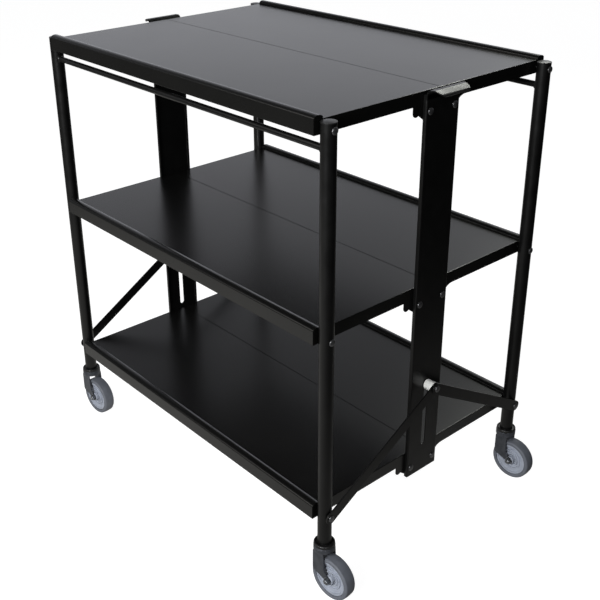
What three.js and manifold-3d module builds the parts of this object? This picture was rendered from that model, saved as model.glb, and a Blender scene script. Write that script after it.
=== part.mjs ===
// Folding three-shelf utility trolley on four swivel casters.
//
// X runs along the long side, Y across it and Z up, in millimetres. "near" is the side at -Y and
// "right" the end at +X. The two halves of each shelf hinge up at the middle like a roof, which draws
// the far frame to the near one, lifts the centre plates and swings the lower links upright.

import * as THREE from "three";
import { mergeVertices } from "three/addons/utils/BufferGeometryUtils.js";
import Module from "manifold-3d";

const solids = await Module();
solids.setup();

// ---- Driving dimensions --------------------------------------------------------------------------

// Frame
const postSpacingX = 842;
const postSpacingY = 555;
const postDiameter = 27;
const postWall = 1.5;
const bottomPivotRise = 62;
const shelfPitch = 370.5;

// Post caps
const capDiameter = 27.6;
const capThickness = 2.6;
const capCrown = 1;
const capPlugLength = 6;

// Top rails
const railDiameter = 12.5;
const railWall = 1.5;
const railDrop = 33;
const weldLeg = 2.5;

// Shelf halves
const sheet = 1.2;
const surfaceRise = 13.5;
const shelfEndGap = 1;
const seamGap = 1.6;
const seamFlangeDepth = 20;
const endFlangeDepth = 24.5;
const endFlangeTail = 9;
const lipOverhang = 18.5;
const lipWidth = 20;
const lipHeight = 7.5;
const lipCrownHeight = 5.5;
const lipHem = 4;
const earDepth = 26;
const earInnerEdge = 15;
const earOuterEdge = 42;
const earCornerRadius = 7;
const stopLobeReach = 18;
const stopLobeDepth = 11;
const stopLobeRadius = 8;

// Inner pivots, on the centre plates
const innerPivotSpacing = 64;
const innerPivotDrop = 22.5;
const rivetDiameter = 8;
const rivetHeadDiameter = 13;
const rivetHeadHeight = 2.5;
const rivetTailThickness = 2;

// Centre plates
const plateWidth = 86;
const plateDepth = 8;
const plateSheet = 2;
const plateRunningGap = 0.5;
const plateTail = 19.5;
const gripRise = 3.5;
const gripReach = 31;
const gripWidth = 76;
const gripCornerRadius = 14;
const gripBendRadius = 8;
const gripFlat = 14;
const gripFall = 4.5;
const gripEdgeDrop = 3;

// Slot, its pin and its roller
const pinRise = 164;
const slotWidth = 11.5;
const slotLength = 149;
const pinDiameter = 10;
const pinHeadDiameter = 17;
const pinHeadThickness = 4;
const collarDiameter = 16;
const collarLength = 8;
const journalDiameter = 8;
const rollerDiameter = 21;
const rollerWidth = 12.4;
const rollerEdgeRadius = 1.5;

// Lower links
const linkWidth = 23;
const linkThickness = 3;
const linkFlatLength = 45;
const linkLayerGap = 0.6;
const linkHeadDiameter = 13;
const linkHeadHeight = 2.5;

// Post pivot screws
const screwDiameter = 6;
const screwHeadDiameter = 13;
const screwHeadHeight = 2.6;
const nutAcrossCorners = 11.5;
const nutThickness = 5;
const footWasherThickness = 0.8;

// Casters
const wheelDiameter = 90;
const tyreWidth = 26;
const tyreSection = 9.7;
const tyreShoulder = 5;
const casterTrail = 24.5;
const casterHeading = 4;
const swivelCapHeight = 117;
const swivelCapThickness = 6;
const swivelDiameter = 42;
const swivelCupHeight = 12;
const forkSheet = 2.6;
const forkInnerWidth = 30.4;
const forkLeadingEdge = 13.6;
const forkTrailingEdge = 17;
const forkKneeHeight = 54;
const forkBossRadius = 8.5;
const stemLength = 34;
const kingpinDiameter = 12;
const kingpinHeadDiameter = 20;
const kingpinHeadThickness = 3;
const axleDiameter = 8;
const axleNutAcrossCorners = 13.5;
const axleNutThickness = 5.5;
const axleTip = 2;
const hubCoreDiameter = 19;
const hubWidth = 29.6;
const hubRimWidth = 21;
const hubRimThickness = 4;
const hubWebThickness = 9;
const ribCount = 4;
const ribThickness = 1.6;

// Clearances
const faceGap = 0.3;
const pivotClearance = 0.5;

// Facets round a full turn
const postSides = 16;
const rodSides = 12;
const smallSides = 8;
const wheelSides = 16;

// ---- Places worked out from them -----------------------------------------------------------------

const postX = postSpacingX / 2;
const postY = postSpacingY / 2;
const postRadius = postDiameter / 2;
const screwRadius = screwDiameter / 2;
const bottomPivotHeight = swivelCapHeight + bottomPivotRise;
const tierPivots = {
  top: bottomPivotHeight + 2 * shelfPitch,
  middle: bottomPivotHeight + shelfPitch,
  bottom: bottomPivotHeight,
};
const postBottom = swivelCapHeight + faceGap;
const postLength = tierPivots.top + surfaceRise - capThickness - faceGap - postBottom;

const shelfEndX = postX - postRadius - shelfEndGap;
const innerPivotY = innerPivotSpacing / 2;
const plateInnerX = shelfEndX + plateRunningGap;
const plateOuterX = plateInnerX + plateDepth;
const webInnerX = plateOuterX - plateSheet;

const collarInnerX = plateOuterX + faceGap;
const rollerInnerX = collarInnerX + collarLength + faceGap;
const rollerOuterX = rollerInnerX + rollerWidth;
const pinEndX = rollerOuterX + faceGap;

const postOuterX = postX + postRadius;
const footInnerX = postOuterX + 2 * faceGap + footWasherThickness;
const footOuterX = footInnerX + linkThickness;
const innerLinkApexX = pinEndX + faceGap + linkThickness;
const outerLinkApexX = innerLinkApexX + linkLayerGap + linkThickness;
const pinHeight = tierPivots.bottom + pinRise;
const linkLength = Math.hypot(postY, pinRise);
const linkTilt = Math.atan2(pinRise, postY);

const wheelRadius = wheelDiameter / 2;
const rimRadius = wheelRadius - tyreSection;
const swivelRadius = swivelDiameter / 2;
const cupTop = swivelCapHeight - swivelCapThickness - faceGap;
const cupBottom = cupTop - swivelCupHeight;
const forkOuterY = forkInnerWidth / 2 + forkSheet;

// ---- Solids --------------------------------------------------------------------------------------

const mergeDistance = 1e-4;

// Shares vertices, drops triangles that have closed up, and turns the faces outward.
function tidy(geometry) {
  const bare = new THREE.BufferGeometry();
  bare.setAttribute("position", geometry.getAttribute("position"));
  bare.setIndex(geometry.getIndex());
  const merged = mergeVertices(bare, mergeDistance);
  const position = merged.getAttribute("position");
  const corners = [0, 1, 2].map(() => new THREE.Vector3());
  const index = [];
  let volume = 0;
  for (let i = 0; i < merged.index.count; i += 3) {
    const triangle = [0, 1, 2].map((k) => merged.index.getX(i + k));
    if (new Set(triangle).size < 3) continue;
    index.push(...triangle);
    triangle.forEach((vertex, k) => corners[k].fromBufferAttribute(position, vertex));
    volume += corners[0].dot(corners[1].clone().cross(corners[2]));
  }
  merged.setIndex(volume < 0 ? index.reverse() : index);
  return merged;
}

function toSolid(geometry) {
  const { attributes, index } = tidy(geometry);
  const vertProperties = new Float32Array(attributes.position.array);
  const triVerts = new Uint32Array(index.array);
  return new solids.Manifold(new solids.Mesh({ numProp: 3, vertProperties, triVerts }));
}

function toGeometry(solid) {
  const { vertProperties, triVerts } = solid.getMesh();
  const geometry = new THREE.BufferGeometry();
  geometry.setAttribute("position", new THREE.BufferAttribute(vertProperties, 3));
  geometry.setIndex(new THREE.BufferAttribute(triVerts, 1));
  return geometry;
}

const join = (first, ...rest) => rest.reduce((whole, piece) => whole.add(piece), first);
const cut = (first, ...rest) => rest.reduce((whole, piece) => whole.subtract(piece), first);

const axisX = new THREE.Vector3(1, 0, 0);
const axisY = new THREE.Vector3(0, 1, 0);
const axisZ = new THREE.Vector3(0, 0, 1);
const sketchToYZ = new THREE.Matrix4().makeBasis(axisY, axisZ, axisX);
const sketchToXZ = new THREE.Matrix4().makeBasis(axisX, axisZ, axisY.clone().negate());

function extrude(shape, depth, curveSegments = 4) {
  return new THREE.ExtrudeGeometry(shape, { depth, curveSegments, bevelEnabled: false });
}

// Prisms: an outline in the other two axes, from one place to another along X, Y or Z.
function prismX(shape, from, to) {
  return toSolid(extrude(shape, to - from).applyMatrix4(sketchToYZ).translate(from, 0, 0));
}

function prismY(shape, from, to) {
  return toSolid(extrude(shape, to - from).applyMatrix4(sketchToXZ).translate(0, to, 0));
}

function prismZ(shape, from, to) {
  return toSolid(extrude(shape, to - from).translate(0, 0, from));
}

// Turned pieces: a profile of [place along the axis, radius] pairs that starts and ends on the axis,
// or closes on itself.
function lathe(profile, sides) {
  return new THREE.LatheGeometry(profile.map(([along, radius]) => new THREE.Vector2(radius, along)), sides);
}

const turnedX = (profile, sides) => toSolid(lathe(profile, sides).rotateZ(-Math.PI / 2));
const turnedY = (profile, sides) => toSolid(lathe(profile, sides));
const turnedZ = (profile, sides) => toSolid(lathe(profile, sides).rotateX(Math.PI / 2));

const rod = (radius, from, to) => [[from, 0], [from, radius], [to, radius], [to, 0]];
const ring = (inner, outer, from, to) => [[from, inner], [from, outer], [to, outer], [to, inner], [from, inner]];

// A shallow domed head that rises from one place to another along the axis.
function dome(radius, from, to, steps = 2) {
  const profile = [[from, 0]];
  for (let step = 0; step <= steps; step++) {
    const turn = (step / steps) * (Math.PI / 2);
    profile.push([from + (to - from) * Math.sin(turn), radius * Math.cos(turn)]);
  }
  return profile;
}

function outline(points) {
  return new THREE.Shape(points.map(([across, up]) => new THREE.Vector2(across, up)));
}

// A bar with round ends, between two points of its centre line.
function barOutline([startAcross, startUp], [endAcross, endUp], width) {
  const along = Math.atan2(endUp - startUp, endAcross - startAcross);
  const shape = new THREE.Shape();
  shape.absarc(startAcross, startUp, width / 2, along + Math.PI / 2, along + Math.PI * 1.5, false);
  shape.absarc(endAcross, endUp, width / 2, along - Math.PI / 2, along + Math.PI / 2, false);
  shape.closePath();
  return shape;
}

// Points on part of an ellipse, from one angle to another in degrees.
function arcPoints([across, up], radiusAcross, radiusUp, from, to, steps) {
  return Array.from({ length: steps + 1 }, (_, step) => {
    const turn = THREE.MathUtils.degToRad(from + ((to - from) * step) / steps);
    return [across + radiusAcross * Math.cos(turn), up + radiusUp * Math.sin(turn)];
  });
}

// The section of bent sheet: the path is its outer face, and the sheet lies on the path's left.
function sheetOutline(path, thickness) {
  const normals = path.slice(1).map(([across, up], i) => {
    const step = new THREE.Vector2(across - path[i][0], up - path[i][1]).normalize();
    return new THREE.Vector2(-step.y, step.x);
  });
  const inner = path.map(([across, up], i) => {
    const before = normals[Math.max(i - 1, 0)];
    const after = normals[Math.min(i, normals.length - 1)];
    const mitre = before.clone().add(after).multiplyScalar(thickness / (1 + before.dot(after)));
    return [across + mitre.x, up + mitre.y];
  });
  return outline([...path, ...inner.reverse()]);
}

// ---- Materials -----------------------------------------------------------------------------------

const finish = (color, roughness, metalness) =>
  new THREE.MeshStandardMaterial({ color, roughness, metalness, flatShading: true });

const blackPaint = () => finish(0x1b1b1c, 0.42, 0.3);
const shelfPaint = () => finish(0x2a2a2c, 0.35, 0.3);
const blackPlastic = () => finish(0x141414, 0.5, 0);
const zincSteel = () => finish(0x8c8f94, 0.35, 0.9);
const forkSteel = () => finish(0x54565c, 0.4, 0.7);
const greyRubber = () => finish(0x5c6068, 0.8, 0);
const hubPlastic = () => finish(0xa5a9b8, 0.45, 0);
const whiteNylon = () => finish(0xeeeeea, 0.4, 0);

const trolley = new THREE.Group();
trolley.name = "folding_utility_trolley";

function piece(name, solid, material, parent = trolley) {
  const mesh = new THREE.Mesh(toGeometry(solid), material);
  mesh.name = name;
  parent.add(mesh);
  return mesh;
}

// ---- Posts, caps and rails -----------------------------------------------------------------------

function postSolid() {
  const tube = turnedZ(ring(postRadius - postWall, postRadius, 0, postLength), postSides);
  const drills = Object.values(tierPivots).map((height) =>
    turnedX(rod(screwRadius + pivotClearance, -postDiameter, postDiameter), smallSides).translate(
      [0, 0, height - postBottom],
    ),
  );
  return cut(tube, ...drills);
}

function capSolid() {
  const rim = capDiameter / 2;
  const plug = postRadius - postWall - faceGap;
  const top = capThickness - capCrown;
  return turnedZ(
    [[-capPlugLength, 0], [-capPlugLength, plug], [0, plug], [0, rim], ...dome(rim, top, capThickness, 1).slice(1)],
    postSides,
  );
}

// Runs between two posts, coped to the tubes, with a weld fillet round each end.
function railSolid() {
  const radius = railDiameter / 2;
  const outer = radius + weldLeg;
  const body = turnedX(
    [[-postX, 0], [-postX, outer], [-postX + postRadius, outer], [-postX + postRadius + weldLeg, radius],
      [postX - postRadius - weldLeg, radius], [postX - postRadius, outer], [postX, outer], [postX, 0]],
    rodSides,
  );
  const bore = turnedX(rod(radius - railWall, -postX, postX), rodSides);
  const copes = [-postX, postX].map((x) =>
    turnedZ(rod(postRadius + faceGap, -railDiameter, railDiameter), postSides).translate([x, 0, 0]),
  );
  return cut(body, bore, ...copes);
}

function placeFrames() {
  const post = postSolid();
  const cap = capSolid();
  const rail = railSolid();
  for (const [side, y] of [["near", -postY], ["far", postY]]) {
    for (const [end, x] of [["left", -postX], ["right", postX]]) {
      piece(`post_${side}_${end}`, post, blackPaint()).position.set(x, y, postBottom);
      const capZ = postBottom + postLength + faceGap;
      piece(`post_cap_${side}_${end}`, cap, blackPlastic()).position.set(x, y, capZ);
    }
    piece(`top_rail_${side}`, rail, blackPaint()).position.set(0, y, tierPivots.top - railDrop);
  }
}

// ---- Shelf halves --------------------------------------------------------------------------------

// A pressed pan, seam at the middle of the trolley and lip over the near posts, closed at both ends by a
// flange whose ear reaches the centre plate. Height 0 is its surface.
function shelfHalfSolid() {
  const seamY = -seamGap / 2;
  const lipOuterY = -postY - lipOverhang;
  const lipBaseY = lipOuterY + lipWidth;
  const crownZ = lipHeight - lipCrownHeight;
  const crownSteps = 4;
  const crown = arcPoints([lipOuterY + lipWidth / 2, crownZ], lipWidth / 2, lipCrownHeight, 0, 180, crownSteps);
  const pan = prismX(
    sheetOutline(
      [[seamY, -seamFlangeDepth], [seamY, 0], [lipBaseY, 0], ...crown,
        [lipOuterY, -endFlangeDepth], [lipOuterY + lipHem, -endFlangeDepth]],
      sheet,
    ),
    -shelfEndX,
    shelfEndX,
  );

  const midSheet = sheet / 2;
  const crownMiddle = arcPoints(
    [lipOuterY + lipWidth / 2, crownZ], lipWidth / 2 - midSheet, lipCrownHeight - midSheet, 0, 180, crownSteps);
  const earBottom = -endFlangeDepth - earDepth;
  const lobe = [-earOuterEdge - stopLobeReach, -endFlangeDepth - stopLobeDepth];
  const earEdges = {
    lobed: [
      [lobe[0] - stopLobeRadius, -endFlangeDepth],
      ...arcPoints(lobe, stopLobeRadius, stopLobeRadius, 180, 315, 3),
      [-earOuterEdge, earBottom],
    ],
    hollow: arcPoints([-earOuterEdge - earDepth, earBottom], earDepth, earDepth, 90, 0, 3),
  };
  const endSolids = [["lobed", shelfEndX - sheet], ["hollow", -shelfEndX]].map(([ear, x]) =>
    prismX(
      outline([
        [seamY, 0],
        [lipBaseY - midSheet, 0],
        ...crownMiddle,
        [lipOuterY + midSheet, midSheet - endFlangeDepth],
        [-postY - endFlangeTail, midSheet - endFlangeDepth],
        [-postY - endFlangeTail, -endFlangeDepth],
        ...earEdges[ear],
        ...arcPoints([-earInnerEdge - earCornerRadius, earBottom + earCornerRadius],
          earCornerRadius, earCornerRadius, -90, 0, 2),
        [-earInnerEdge, -endFlangeDepth],
        [seamY, -endFlangeDepth],
      ]),
      x,
      x + sheet,
    ),
  );
  const bores = [
    [screwRadius, -postY, -surfaceRise],
    [rivetDiameter / 2, -innerPivotY, -surfaceRise - innerPivotDrop],
  ].map(([radius, y, z]) =>
    turnedX(rod(radius + pivotClearance, -postX, postX), smallSides).translate([0, y, z]),
  );
  return cut(join(pan, ...endSolids), ...bores);
}

function placeShelves() {
  const half = shelfHalfSolid();
  for (const [tier, pivotHeight] of Object.entries(tierPivots)) {
    for (const [side, turn] of [["near", 0], ["far", Math.PI]]) {
      const mesh = piece(`${tier}_shelf_${side}_half`, half, shelfPaint());
      mesh.position.z = pivotHeight + surfaceRise;
      mesh.rotation.z = turn;
    }
  }
}

// ---- Centre plates -------------------------------------------------------------------------------

// A shallow channel, bent outward at the top into a grip with a rolled edge. It carries the inner pivot
// rivets, which pass through the ears of the shelf halves.
function centrePlateSolid() {
  const gripTop = tierPivots.top + surfaceRise + gripRise;
  const bottom = tierPivots.bottom - innerPivotDrop - plateTail;
  const bendZ = gripTop - plateSheet - gripBendRadius;
  const halfWidth = plateWidth / 2;
  const channel = prismZ(
    sheetOutline(
      [[plateInnerX, -halfWidth], [plateOuterX, -halfWidth], [plateOuterX, halfWidth], [plateInnerX, halfWidth]],
      plateSheet,
    ),
    bottom,
    bendZ,
  );

  const gripEndX = plateOuterX + gripReach;
  const underside = gripTop - plateSheet;
  const tongue = prismY(
    sheetOutline(
      [[plateOuterX, bendZ - gripBendRadius],
        ...arcPoints([plateOuterX + gripBendRadius, bendZ], gripBendRadius, gripBendRadius, 180, 90, 3),
        [plateOuterX + gripFlat, underside],
        [gripEndX - plateSheet - gripEdgeDrop, underside - gripFall],
        [gripEndX - plateSheet, underside - gripFall - gripEdgeDrop]],
      plateSheet,
    ),
    -gripWidth / 2,
    gripWidth / 2,
  );
  const cornerX = gripEndX - gripCornerRadius;
  const cornerY = gripWidth / 2 - gripCornerRadius;
  const radii = [gripCornerRadius, gripCornerRadius];
  const gripPlan = prismZ(
    outline([
      [plateInnerX, -gripWidth / 2],
      ...arcPoints([cornerX, -cornerY], ...radii, -90, 0, 3),
      ...arcPoints([cornerX, cornerY], ...radii, 0, 90, 3),
      [plateInnerX, gripWidth / 2],
    ]),
    bottom,
    gripTop + plateSheet,
  );

  const slotTop = pinHeight + slotWidth / 2;
  const slot = prismX(
    barOutline([0, pinHeight], [0, slotTop - slotLength + slotWidth / 2], slotWidth),
    plateInnerX,
    plateOuterX + plateSheet,
  );

  const bushEndX = shelfEndX + faceGap;
  const tailX = shelfEndX - sheet - faceGap;
  const headRadius = rivetHeadDiameter / 2;
  const shankRadius = rivetDiameter / 2;
  const rivet = turnedX(
    [[tailX - rivetTailThickness, 0], [tailX - rivetTailThickness, headRadius], [tailX, headRadius],
      [tailX, shankRadius], [bushEndX, shankRadius], [bushEndX, headRadius],
      ...dome(headRadius, plateOuterX, plateOuterX + rivetHeadHeight).slice(1)],
    smallSides,
  );
  const rivets = Object.values(tierPivots).flatMap((height) =>
    [-innerPivotY, innerPivotY].map((y) => rivet.translate([0, y, height - innerPivotDrop])),
  );
  return join(cut(join(channel, tongue.intersect(gripPlan)), slot), ...rivets);
}

// ---- Slot pins and rollers -----------------------------------------------------------------------

function slotPinSolid() {
  const headX = webInnerX - faceGap;
  return turnedX(
    [[headX - pinHeadThickness, 0], [headX - pinHeadThickness, pinHeadDiameter / 2], [headX, pinHeadDiameter / 2],
      [headX, pinDiameter / 2], [collarInnerX, pinDiameter / 2], [collarInnerX, collarDiameter / 2],
      [collarInnerX + collarLength, collarDiameter / 2], [collarInnerX + collarLength, journalDiameter / 2],
      [pinEndX, journalDiameter / 2], [pinEndX, 0]],
    smallSides,
  );
}

function rollerSolid() {
  const radius = rollerDiameter / 2;
  const bore = journalDiameter / 2 + pivotClearance;
  const edge = [rollerEdgeRadius, rollerEdgeRadius];
  const inner = [rollerInnerX + rollerEdgeRadius, radius - rollerEdgeRadius];
  const outer = [rollerOuterX - rollerEdgeRadius, radius - rollerEdgeRadius];
  return turnedX(
    [[rollerInnerX, bore], ...arcPoints(inner, ...edge, 180, 90, 1), ...arcPoints(outer, ...edge, 90, 0, 1),
      [rollerOuterX, bore], [rollerInnerX, bore]],
    postSides,
  );
}

function placeEnds() {
  const plate = centrePlateSolid();
  const pin = slotPinSolid();
  const roller = rollerSolid();
  for (const [end, turn] of [["right", 0], ["left", Math.PI]]) {
    const group = new THREE.Group();
    group.rotation.z = turn;
    trolley.add(group);
    piece(`centre_plate_${end}`, plate, blackPaint(), group);
    piece(`slot_pin_${end}`, pin, zincSteel(), group).position.z = pinHeight;
    piece(`roller_${end}`, roller, whiteNylon(), group).position.z = pinHeight;
  }
}

// ---- Lower links ---------------------------------------------------------------------------------

// A flat bar, foot at the origin and apex along +Y, set outward between its flat ends so that the two
// apexes lie side by side. The outer bar carries the head of the apex rivet.
function linkSolid(apexOuterX, hasHead) {
  const reach = linkLength + linkWidth;
  const strip = prismZ(
    sheetOutline(
      [[footOuterX, -linkWidth], [footOuterX, linkFlatLength],
        [apexOuterX, linkLength - linkFlatLength], [apexOuterX, reach]],
      linkThickness,
    ),
    -linkWidth,
    linkWidth,
  );
  const plan = prismX(barOutline([0, 0], [linkLength, 0], linkWidth), postX, apexOuterX + linkWidth);
  const bore = turnedX(rod(screwRadius + pivotClearance, postX, apexOuterX + linkWidth), smallSides);
  const bar = cut(strip.intersect(plan), bore);
  if (!hasHead) {
    return cut(bar, bore.translate([0, linkLength, 0]));
  }
  const base = apexOuterX - linkThickness / 2;
  const head = turnedX(
    [[base, 0], [base, linkHeadDiameter / 2],
      ...dome(linkHeadDiameter / 2, apexOuterX, apexOuterX + linkHeadHeight).slice(1)],
    smallSides,
  );
  return join(bar, head.translate([0, linkLength, 0]));
}

function placeLinks() {
  const inner = linkSolid(innerLinkApexX, false);
  const outer = linkSolid(outerLinkApexX, true);
  const layout = {
    right: { turn: 0, near: ["near", inner], far: ["far", outer] },
    left: { turn: Math.PI, near: ["far", inner], far: ["near", outer] },
  };
  for (const [end, { turn, near, far }] of Object.entries(layout)) {
    const group = new THREE.Group();
    group.rotation.z = turn;
    trolley.add(group);
    for (const [[side, solid], y, tilt] of [[near, -postY, linkTilt], [far, postY, Math.PI - linkTilt]]) {
      const mesh = piece(`link_${side}_${end}`, solid, blackPaint(), group);
      mesh.position.set(0, y, tierPivots.bottom);
      mesh.rotation.x = tilt;
    }
  }
}

// ---- Post pivot screws ---------------------------------------------------------------------------

// Runs from outside the post to a nut behind the shelf's end flange. The bottom ones carry a link's foot
// between a washer and the head.
function screwSolid(carriesLink) {
  const nutX = shelfEndX - sheet - faceGap;
  const washerX = postOuterX + faceGap;
  const headX = carriesLink ? footOuterX + faceGap : washerX;
  const headRadius = screwHeadDiameter / 2;
  const washer = [[washerX, screwRadius], [washerX, headRadius],
    [washerX + footWasherThickness, headRadius], [washerX + footWasherThickness, screwRadius]];
  const shankEnd = nutX - nutThickness / 2;
  const shank = [[shankEnd, 0], [shankEnd, screwRadius], ...(carriesLink ? washer : []), [headX, screwRadius]];
  const screw = turnedX([...shank, ...dome(headRadius, headX, headX + screwHeadHeight).slice(1)], smallSides);
  return join(screw, turnedX(rod(nutAcrossCorners / 2, nutX - nutThickness, nutX), 6));
}

function placeScrews() {
  const plain = screwSolid(false);
  const long = screwSolid(true);
  for (const [tier, height] of Object.entries(tierPivots)) {
    for (const [end, turn] of [["right", 0], ["left", Math.PI]]) {
      for (const [side, y] of [["near", -postY], ["far", postY]]) {
        const solid = tier === "bottom" ? long : plain;
        const mesh = piece(`pivot_screw_${tier}_${side}_${end}`, solid, zincSteel());
        mesh.position.set(0, y, height);
        mesh.rotation.z = turn;
      }
    }
  }
}

// ---- Casters -------------------------------------------------------------------------------------

// Fixed in the post: a plug in the tube, the cap over the swivel, and the kingpin that holds the fork up.
function stemSolid() {
  const plug = postRadius - postWall - faceGap;
  const capBase = swivelCapHeight - swivelCapThickness;
  const rim = swivelRadius - 0.5;
  const kingpin = kingpinDiameter / 2;
  const headTop = cupBottom - faceGap;
  return turnedZ(
    [[headTop - kingpinHeadThickness, 0], [headTop - kingpinHeadThickness, kingpinHeadDiameter / 2],
      [headTop, kingpinHeadDiameter / 2], [headTop, kingpin],
      [capBase, kingpin], [capBase, rim], [capBase + swivelCapThickness / 2, rim],
      [swivelCapHeight, rim - swivelCapThickness / 2], [swivelCapHeight, plug],
      [swivelCapHeight + stemLength, plug], [swivelCapHeight + stemLength, 0]],
    rodSides,
  );
}

// Turns about the kingpin: a bearing cup with two legs down to the axle.
function forkSolid() {
  const bore = kingpinDiameter / 2 + pivotClearance;
  const cup = turnedZ(
    [[cupBottom, bore], [cupBottom, swivelRadius], [cupTop, swivelRadius],
      [cupTop, swivelRadius - forkSheet], [cupBottom + forkSheet, swivelRadius - forkSheet - 1],
      [cupBottom + forkSheet, bore], [cupBottom, bore]],
    rodSides,
  );
  const legTop = cupBottom + forkSheet;
  const bossStart = 200;
  const bossEnd = 390;
  const leg = outline([
    [-forkLeadingEdge, legTop],
    [-forkLeadingEdge, forkKneeHeight],
    ...arcPoints([casterTrail, wheelRadius], forkBossRadius, forkBossRadius, bossStart, bossEnd, 4),
    [forkTrailingEdge, cupBottom - forkSheet],
    [forkTrailingEdge, legTop],
  ]);
  const legs = [-forkOuterY, forkInnerWidth / 2].map((y) => prismY(leg, y, y + forkSheet));
  const axleBore = turnedY(rod(axleDiameter / 2 + pivotClearance, -forkOuterY - 1, forkOuterY + 1), smallSides);
  return cut(join(cup, ...legs), axleBore.translate([casterTrail, 0, wheelRadius]));
}

function axleSolid() {
  const seat = forkOuterY + faceGap;
  const end = seat + axleNutThickness + axleTip;
  return join(
    turnedY(rod(axleDiameter / 2, -end, seat + 1), smallSides),
    turnedY(rod(axleNutAcrossCorners / 2, -seat - axleNutThickness, -seat), 6),
    turnedY(rod(axleNutAcrossCorners / 2, seat, seat + axleNutThickness), 6),
  );
}

// Moulded wheel centre: core, dished web and rim, stiffened by radial ribs.
function hubSolid() {
  const bore = axleDiameter / 2 + pivotClearance;
  const core = hubCoreDiameter / 2;
  const rimInner = rimRadius - hubRimThickness;
  const web = hubWebThickness / 2;
  const side = [[hubWidth / 2, bore], [hubWidth / 2, core - 1], [web, core + 1], [web, rimInner - 1],
    [hubRimWidth / 2, rimInner], [hubRimWidth / 2, rimRadius]];
  const mirrored = side.map(([along, radius]) => [-along, radius]).reverse();
  const wheel = turnedY([...side, ...mirrored, side[0]], wheelSides);
  const ribReach = (core + rimInner) / 2;
  const ribLength = rimInner - core + 2;
  const rib = toSolid(new THREE.BoxGeometry(ribLength, hubRimWidth - 2, ribThickness));
  const ribs = Array.from({ length: ribCount }, (_, i) =>
    rib.translate([ribReach, 0, 0]).rotate([0, (360 * (i + 0.5)) / ribCount, 0]),
  );
  return join(wheel, ...ribs);
}

function tyreSolid() {
  const seat = rimRadius + faceGap;
  const half = tyreWidth / 2;
  const radii = [tyreShoulder, tyreShoulder];
  const shoulder = wheelRadius - tyreShoulder;
  return turnedY(
    [[-half, seat],
      ...arcPoints([-half + tyreShoulder, shoulder], ...radii, 180, 90, 1),
      ...arcPoints([half - tyreShoulder, shoulder], ...radii, 90, 0, 1),
      [half, seat], [-half, seat]],
    wheelSides,
  );
}

function placeCasters() {
  const stem = stemSolid();
  const fork = forkSolid();
  const axle = axleSolid();
  const hub = hubSolid();
  const tyre = tyreSolid();
  for (const [side, y] of [["near", -postY], ["far", postY]]) {
    for (const [end, x] of [["left", -postX], ["right", postX]]) {
      const corner = `${side}_${end}`;
      const caster = new THREE.Group();
      caster.position.set(x, y, 0);
      caster.rotation.z = THREE.MathUtils.degToRad(casterHeading);
      trolley.add(caster);
      piece(`caster_stem_${corner}`, stem, blackPlastic(), caster);
      piece(`caster_fork_${corner}`, fork, forkSteel(), caster);
      for (const [name, solid, material] of [
        ["axle", axle, zincSteel()],
        ["hub", hub, hubPlastic()],
        ["tyre", tyre, greyRubber()],
      ]) {
        piece(`caster_${name}_${corner}`, solid, material, caster).position.set(casterTrail, 0, wheelRadius);
      }
    }
  }
}

placeFrames();
placeShelves();
placeEnds();
placeLinks();
placeScrews();
placeCasters();

// The origin is the middle of the footprint, on the floor.
const extent = new THREE.Box3().setFromObject(trolley);
const middle = extent.getCenter(new THREE.Vector3());
trolley.position.set(-middle.x, -middle.y, -extent.min.z);
trolley.updateMatrixWorld(true);

export default trolley;
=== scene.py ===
import bpy
import bmesh
import math
from mathutils import Matrix, Vector


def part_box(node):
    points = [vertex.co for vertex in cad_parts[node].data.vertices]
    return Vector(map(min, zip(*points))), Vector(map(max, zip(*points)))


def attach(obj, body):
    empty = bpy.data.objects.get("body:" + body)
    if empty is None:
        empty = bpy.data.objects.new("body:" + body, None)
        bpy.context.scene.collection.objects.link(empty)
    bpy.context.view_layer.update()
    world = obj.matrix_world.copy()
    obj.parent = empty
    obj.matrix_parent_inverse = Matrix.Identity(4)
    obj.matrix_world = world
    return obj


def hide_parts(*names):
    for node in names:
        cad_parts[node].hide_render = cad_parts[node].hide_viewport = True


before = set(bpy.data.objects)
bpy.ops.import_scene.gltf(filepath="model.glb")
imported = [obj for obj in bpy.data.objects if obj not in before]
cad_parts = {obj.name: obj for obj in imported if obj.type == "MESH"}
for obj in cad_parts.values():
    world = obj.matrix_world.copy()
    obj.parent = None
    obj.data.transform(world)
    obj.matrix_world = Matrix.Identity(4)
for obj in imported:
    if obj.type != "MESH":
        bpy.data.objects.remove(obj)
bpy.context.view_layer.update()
mm = 0.001


def middleOf(*nodes):
    corners = [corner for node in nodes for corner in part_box(node)]
    low = Vector(min(c[i] for c in corners) for i in range(3))
    high = Vector(max(c[i] for c in corners) for i in range(3))
    return (low + high) / 2


# the spot on the floor amid the four posts: the camera, the lamps and the pieces are placed from it
postCentre = middleOf("post_near_left", "post_near_right", "post_far_left", "post_far_right")
floorCentre = Vector((postCentre.x, postCentre.y, 0))


def linked(name, data):
    obj = bpy.data.objects.new(name, data)
    bpy.context.scene.collection.objects.link(obj)
    return obj


cameraSet = {
    "place": (1.4459, -1.2608, 1.3629),  # metres from floorCentre
    "yaw": 49.423,                       # degrees round to the left from straight along +Y
    "pitch": 24.834,                     # degrees down
    "roll": -0.755,
    "lens": 57.744,
    "sensor": 36,
    "shift": (0.03659, -0.0728),
    "farthest": 50,
}


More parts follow.
